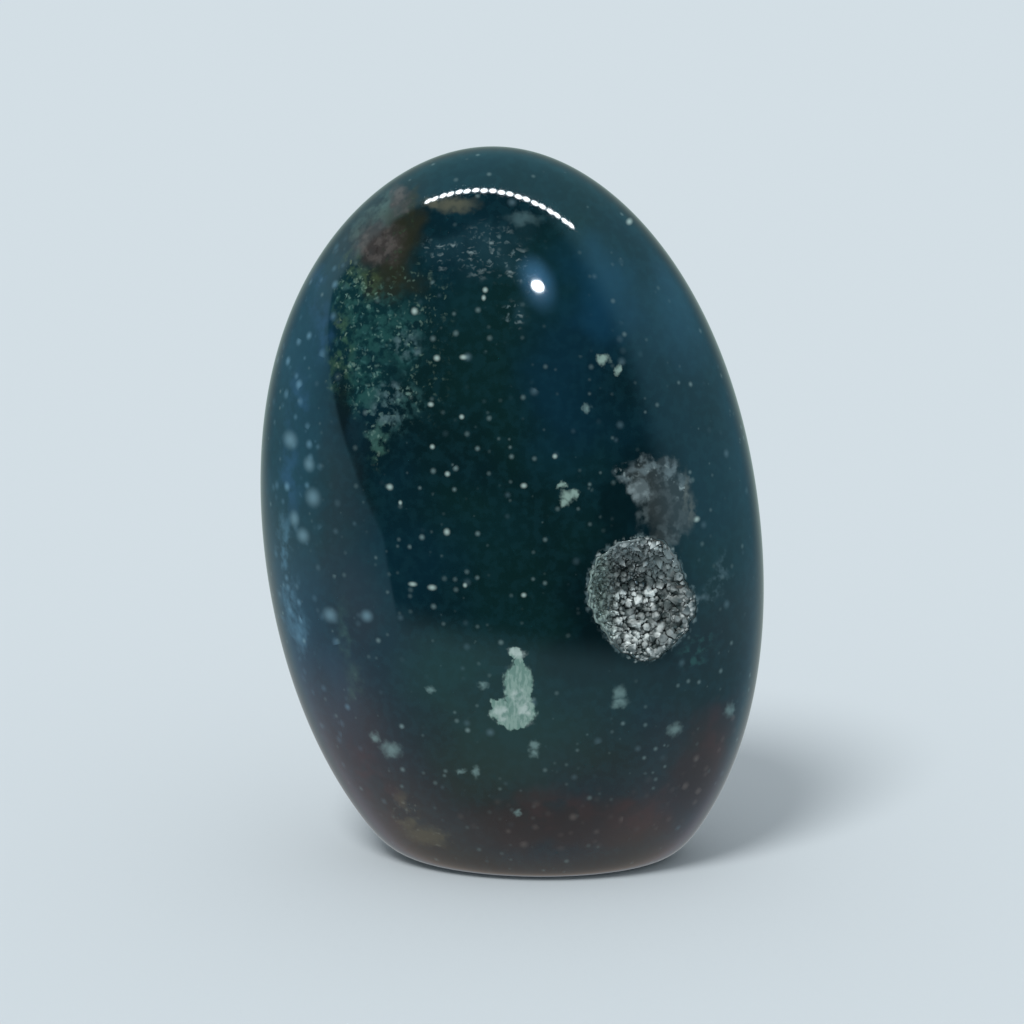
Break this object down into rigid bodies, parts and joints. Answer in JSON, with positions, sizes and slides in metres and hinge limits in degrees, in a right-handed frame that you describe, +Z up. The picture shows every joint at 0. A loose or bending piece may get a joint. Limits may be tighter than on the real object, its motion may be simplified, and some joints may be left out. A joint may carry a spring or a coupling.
{
  "type": "bloodstone",
  "caption": "Hand-polished egg-shaped bloodstone standing on a flat cut base, with a shallow crystal-lined pocket in its front face.",
  "frame": {"origin": "middle of the object's bounding box, on the flat cut base", "axes": "+Z up along the stone's height, +X to the viewer's right, the face with the crystal pocket looks along -Y"},
  "size_m": [0.0702, 0.043, 0.1],
  "materials": {
    "polished_bloodstone": "glossy hand polish, dark blue-green chalcedony with moss clouds and specks",
    "drusy_quartz": "sparkling crust of small grey-white quartz points"
  },
  "bodies": {
    "root": {"bloodstone": "polished_bloodstone", "quartz_crust": "drusy_quartz"}
  },
  "joints": []
}
